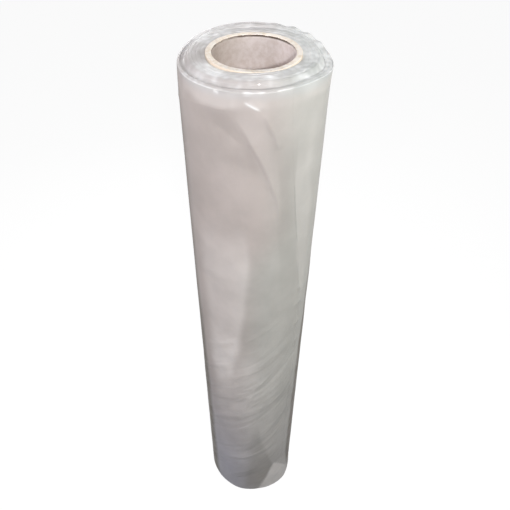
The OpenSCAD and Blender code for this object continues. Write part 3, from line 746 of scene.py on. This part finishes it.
def filmMaterial():
    # a body colour by side and height, with painted cool light towards the foot, towards milk or cling
    # by the attribute, which also holds painted light and painted shade, times a slow tone; painted
    # highlights whiter; the coat by height and painted highlight; two layers of leaning wrinkles and a
    # fine crinkle as bump, one on another
    f = filmFinish
    material, tree, out = newMaterial("milkySheeting")
    link = tree.links.new
    shader = nodeOf(tree, "ShaderNodeBsdfPrincipled")
    shader.inputs["Roughness"].default_value = f["roughness"]
    shader.inputs["Specular IOR Level"].default_value = f["specular"]
    shader.inputs["Coat Roughness"].default_value = f["coatRoughness"]
    shader.inputs["Coat IOR"].default_value = f["coatIor"]
    shader.inputs["Subsurface Weight"].default_value = f["subsurface"]
    shader.inputs["Subsurface Radius"].default_value = f["subsurfaceRadius"]
    shader.inputs["Subsurface Scale"].default_value = 1.0
    coords = nodeOf(tree, "ShaderNodeTexCoord").outputs["Object"]
    place = nodeOf(tree, "ShaderNodeSeparateXYZ")
    link(coords, place.inputs[0])
    x, z = place.outputs["X"], place.outputs["Z"]
    loose, gleam = attributeOf(tree, "loose"), attributeOf(tree, "gleam")

    # the warmer left side reaches further round above warmHeight
    low, high = f["warmHeight"] - f["warmFade"], f["warmHeight"] + f["warmFade"]
    across = combined(tree, "SUBTRACT", x, between(tree, z, low, high, 0.0, f["warmReach"]))
    side = ramped(tree, across, f["sideLimits"], f["leftColor"], f["rightColor"])
    # painted cool light towards the foot, bluest on the left
    foot = ramped(tree, x, f["footLimits"], f["footLeft"], f["footRight"])
    body = mixed(tree, between(tree, z, *f["footHeights"]), foot, side)
    # towards milk or cling: the sheet's tone, painted light and painted shade
    body = ramped(tree, loose, (0.0, 1.0), body, f["milkColor"])
    body = ramped(tree, loose, (0.0, -1.0), body, f["clingColor"])

    white = (1.0, 1.0, 1.0)
    tone = noiseOf(tree, coords, *f["toneNoise"])
    shade = ramped(tree, tone, f["toneLimits"], (1 - f["toneSpread"],) * 3, white)
    cooler = ramped(tree, z, [coreHigh[2] - down for down in f["endDepths"]], white, f["endTint"])
    for tint in (shade, cooler):
        body = mixed(tree, 1.0, body, tint, "MULTIPLY")
    # the base colour is painted whiter where a highlight is painted
    link(mixed(tree, gleam, body, f["gleamColor"]), shader.inputs["Base Color"])

    # the taut lip and shoulder shine, the rest is duller; the coat rises too where a highlight is painted
    shine = between(tree, z, *f["shineHeights"], f["coat"], f["coatTop"])
    link(combined(tree, "ADD", shine, gleam, clamp=True), shader.inputs["Coat Weight"])

    # the wrinkles lie on the unrolled sheet, strongest low down
    turn = nodeOf(tree, "ShaderNodeMapping")
    turn.inputs["Rotation"].default_value = (0, 0, math.radians(f["wrinkleLean"]))
    link(attributeOf(tree, "unrolled", "Vector"), turn.inputs["Vector"])
    lower = between(tree, z, *f["wrinkleHeights"], f["wrinkleLeast"], 1.0)
    strength = combined(tree, "MULTIPLY", lower, between(tree, z, *f["wrinkleTop"]))
    layers = []
    for along, athwart, detail, height in f["wrinkles"]:
        squeeze = nodeOf(tree, "ShaderNodeMapping")
        squeeze.inputs["Scale"].default_value = (along, athwart, 1.0)
        link(turn.outputs["Vector"], squeeze.inputs["Vector"])
        lean = noiseOf(tree, squeeze.outputs["Vector"], 1.0, detail, f["wrinkleRough"], f["wrinkleBend"])
        layers.append((combined(tree, "MULTIPLY", lean, strength), 1.0, height))
    layers.append((noiseOf(tree, coords, *f["crinkleNoise"]), f["crinkle"], f["crinkleHeight"]))
    normal = None
    for grey, amount, height in layers:
        bump = nodeOf(tree, "ShaderNodeBump", Strength=amount, Distance=height)
        link(grey, bump.inputs["Height"])
        if normal:
            link(normal, bump.inputs["Normal"])
        normal = bump.outputs["Normal"]
    link(normal, shader.inputs["Normal"])
    link(shader.outputs["BSDF"], out.inputs["Surface"])
    return material


cardboardFinish = dict(
    boreDark=(0.52, 0.455, 0.415), boreLight=(0.60, 0.545, 0.515), boreLimits=(0.32, 0.68),
    rimDark=(0.70, 0.61, 0.51), rimLight=(0.80, 0.74, 0.68), rimLimits=(0.35, 0.6),
    # painted shade at the bore's mouth and painted light deeper down
    boreMouth=(0.84, 0.84, 0.85), boreDeep=(1.50, 1.47, 1.46), paleDepth=0.075,
    # painted shade on the bore's left, painted light on its right and at its right edge
    boreLeft=(0.82, 0.79, 0.75), boreRight=(1.14, 1.14, 1.16), sideLimits=(-0.04, 0.0),
    boreEdge=(1.35, 1.35, 1.38), edgeLimits=(0.016, 0.036),
    # painted shade on the rim's front
    rimFront=(0.82, 0.84, 0.87), rimSide=(1.05, 1.05, 1.05), frontLimits=(-0.042, -0.020),
    outsideColor=(0.66, 0.57, 0.47), shadowColor=(0.10, 0.075, 0.06),
    mottleNoise=(190.0, 5.0, 0.62), fibreStrength=0.4, fibreHeight=0.0006,
    roughness=0.85, specular=0.25,
)


def cardboardMaterial():
    # bore, rim and outside differ by the attribute part; the bore has painted light and shade by depth and
    # by side, and the rim painted shade at its front
    c = cardboardFinish
    material, tree, out = newMaterial("greyBrownCardboard")
    link = tree.links.new
    shader = nodeOf(tree, "ShaderNodeBsdfPrincipled")
    shader.inputs["Roughness"].default_value = c["roughness"]
    shader.inputs["Specular IOR Level"].default_value = c["specular"]
    coords = nodeOf(tree, "ShaderNodeTexCoord").outputs["Object"]
    place = nodeOf(tree, "ShaderNodeSeparateXYZ")
    link(coords, place.inputs[0])
    x, y, z = (place.outputs[axis] for axis in "XYZ")
    mottle = noiseOf(tree, coords, *c["mottleNoise"])
    bore = ramped(tree, mottle, c["boreLimits"], c["boreDark"], c["boreLight"])
    # painted shade at the bore's mouth, painted light deeper down
    paintedDepthLight = ramped(tree, z, (coreHigh[2], coreHigh[2] - c["paleDepth"]), c["boreMouth"], c["boreDeep"])
    # painted shade on the bore's left, painted light on its right and at its right edge
    paintedSideLight = ramped(tree, x, c["sideLimits"], c["boreLeft"], c["boreRight"])
    paintedEdgeLight = ramped(tree, x, c["edgeLimits"], (1.0, 1.0, 1.0), c["boreEdge"])
    for tint in (paintedDepthLight, paintedSideLight, paintedEdgeLight):
        bore = mixed(tree, 1.0, bore, tint, "MULTIPLY")
    rim = ramped(tree, mottle, c["rimLimits"], c["rimDark"], c["rimLight"])
    # painted shade on the rim's front
    forward = ramped(tree, y, c["frontLimits"], c["rimFront"], c["rimSide"])
    rim = mixed(tree, 1.0, rim, forward, "MULTIPLY")
    part = attributeOf(tree, "part")
    body = bore
    for low, paint in ((0.0, rim), (1.0, c["outsideColor"])):
        step = nodeOf(tree, "ShaderNodeMapRange")
        step.inputs["From Min"].default_value = low
        step.inputs["From Max"].default_value = low + 1.0
        link(part, step.inputs["Value"])
        body = mixed(tree, step.outputs["Result"], body, paint)
    undercut = attributeOf(tree, "undercut")
    link(mixed(tree, undercut, body, c["shadowColor"]), shader.inputs["Base Color"])
    bump = nodeOf(tree, "ShaderNodeBump", Strength=c["fibreStrength"], Distance=c["fibreHeight"])
    link(mottle, bump.inputs["Height"])
    link(bump.outputs["Normal"], shader.inputs["Normal"])
    link(shader.outputs["BSDF"], out.inputs["Surface"])
    return material


film = woundRoll("woundSheeting")
film.data.materials.append(filmMaterial())
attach(film, "root")
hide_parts("film_roll")
print("sheeting built:", len(film.data.polygons), "faces")

core = coreTube("cardboardCore")
core.data.materials.append(cardboardMaterial())
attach(core, "root")
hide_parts("core_tube")
print("core built:", len(core.data.polygons), "faces")


# The camera's place, fitted to the core's rim and the roll's outline in the photograph
viewpoint = dict(back=0.4643, rise=0.1946, pitch=43.82, roll=0.74, yaw=0.40,
                 focalPixels=529.8, frameWidth=510, sensorWidth=36.0, clipStart=0.01)


def addCamera():
    # the view runs along yaw and pitch, and right and up are turned round it by roll
    v = viewpoint
    pitch, roll, yaw = (math.radians(v[k]) for k in ("pitch", "roll", "yaw"))
    forward = np.array([math.sin(yaw) * math.cos(pitch), math.cos(yaw) * math.cos(pitch), -math.sin(pitch)])
    right = np.cross(forward, [0, 0, 1])
    right /= np.linalg.norm(right)
    up = np.cross(right, forward)
    rolledRight = right * math.cos(roll) + up * math.sin(roll)
    rolledUp = up * math.cos(roll) - right * math.sin(roll)
    data = bpy.data.cameras.new("photoCamera")
    data.sensor_width = v["sensorWidth"]
    data.lens = data.sensor_width * v["focalPixels"] / v["frameWidth"]
    data.clip_start = v["clipStart"]
    camera = bpy.data.objects.new("photoCamera", data)
    bpy.context.scene.collection.objects.link(camera)
    basis = np.eye(4)
    basis[:3, 0], basis[:3, 1], basis[:3, 2] = rolledRight, rolledUp, -forward
    basis[:3, 3] = (0, -v["back"], coreHigh[2] + v["rise"])
    camera.matrix_world = Matrix(basis.tolist())
    bpy.context.scene.camera = camera


addCamera()


# Floor, light and world; a lamp's place is in metres, its height measured from the core's top
studio = dict(
    floorSize=40.0, floorShadow=0.12, floorGlow=1.06, floorBounce=0.03,
    keyPlace=(0.12, -0.95, 0.42), keySize=0.08, keyWatts=9.0, keyColor=(1, 1, 1),
    rightPlace=(0.60, -0.30, 0.15), rightSize=0.5, rightWatts=3.4, rightColor=(1, 1, 0.95),
    leftPlace=(-0.60, -0.30, 0.15), leftSize=0.5, leftWatts=3.0, leftColor=(1, 0.96, 0.97),
    overPlace=(0.0, 0.3, 0.9), overSize=0.9, overWatts=3.2, overColor=(1, 1, 1),
    backPlace=(-0.35, 0.90, 0.12), backSize=0.5, backWatts=3.0, backColor=(1, 1, 1),
    aimHeight=0.8, ambient=0.14, ambientColor=(0.92, 0.95, 1.0),
)


def cameraSide(tree):
    # 1 for what the camera sees, straight or through gloss and glass
    path = nodeOf(tree, "ShaderNodeLightPath").outputs
    glossy = combined(tree, "MAXIMUM", path["Is Camera Ray"], path["Is Glossy Ray"])
    return combined(tree, "MAXIMUM", glossy, path["Is Transmission Ray"])


def floorMaterial():
    # white with a little shadow where it is seen, and nearly black to the light that it would throw back
    material, tree, out = newMaterial("whiteFloor")
    link = tree.links.new
    glow = nodeOf(tree, "ShaderNodeEmission", Color=(1, 1, 1, 1), Strength=studio["floorGlow"])
    lit = nodeOf(tree, "ShaderNodeBsdfDiffuse", Color=(1, 1, 1, 1))
    dull = nodeOf(tree, "ShaderNodeBsdfDiffuse", Color=(studio["floorBounce"],) * 3 + (1,))
    seen = nodeOf(tree, "ShaderNodeMixShader", Fac=studio["floorShadow"])
    link(glow.outputs[0], seen.inputs[1])
    link(lit.outputs[0], seen.inputs[2])
    both = nodeOf(tree, "ShaderNodeMixShader")
    link(cameraSide(tree), both.inputs[0])
    link(dull.outputs[0], both.inputs[1])
    link(seen.outputs[0], both.inputs[2])
    link(both.outputs[0], out.inputs["Surface"])
    return material


def addFloor():
    # one large square at height 0
    h = studio["floorSize"] / 2
    me = bpy.data.meshes.new("floor")
    me.from_pydata([(-h, -h, 0), (h, -h, 0), (h, h, 0), (-h, h, 0)], [], [(0, 1, 2, 3)])
    floor = bpy.data.objects.new("floor", me)
    bpy.context.scene.collection.objects.link(floor)
    me.materials.append(floorMaterial())


def addLamp(name, place, size, watts, color):
    # a round area lamp that faces the roll's axis at aimHeight of its height
    data = bpy.data.lights.new(name, "AREA")
    data.shape = "DISK"
    data.size = size
    data.energy = watts
    data.color = color
    lamp = bpy.data.objects.new(name, data)
    bpy.context.scene.collection.objects.link(lamp)
    lamp.location = (place[0], place[1], coreHigh[2] + place[2])
    aim = Vector((0, 0, coreHigh[2] * studio["aimHeight"])) - lamp.location
    lamp.rotation_euler = aim.to_track_quat("-Z", "Y").to_euler()


def addWorld():
    # white where it is seen, and a weak cool light otherwise
    world = bpy.data.worlds.new("paleRoom")
    bpy.context.scene.world = world
    world.use_nodes = True
    tree = world.node_tree
    tree.nodes.clear()
    link = tree.links.new
    out = tree.nodes.new("ShaderNodeOutputWorld")
    seen = nodeOf(tree, "ShaderNodeBackground", Color=(1, 1, 1, 1), Strength=1.0)
    ambientColor = (*studio["ambientColor"], 1)
    soft = nodeOf(tree, "ShaderNodeBackground", Color=ambientColor, Strength=studio["ambient"])
    both = nodeOf(tree, "ShaderNodeMixShader")
    link(cameraSide(tree), both.inputs[0])
    link(soft.outputs[0], both.inputs[1])
    link(seen.outputs[0], both.inputs[2])
    link(both.outputs[0], out.inputs["Surface"])


addFloor()
for lampName in ("key", "right", "left", "over", "back"):
    addLamp(lampName + "Lamp", *(studio[lampName + part] for part in ("Place", "Size", "Watts", "Color")))
addWorld()
bpy.context.scene.view_settings.view_transform = "Standard"
print("camera, floor and light set")
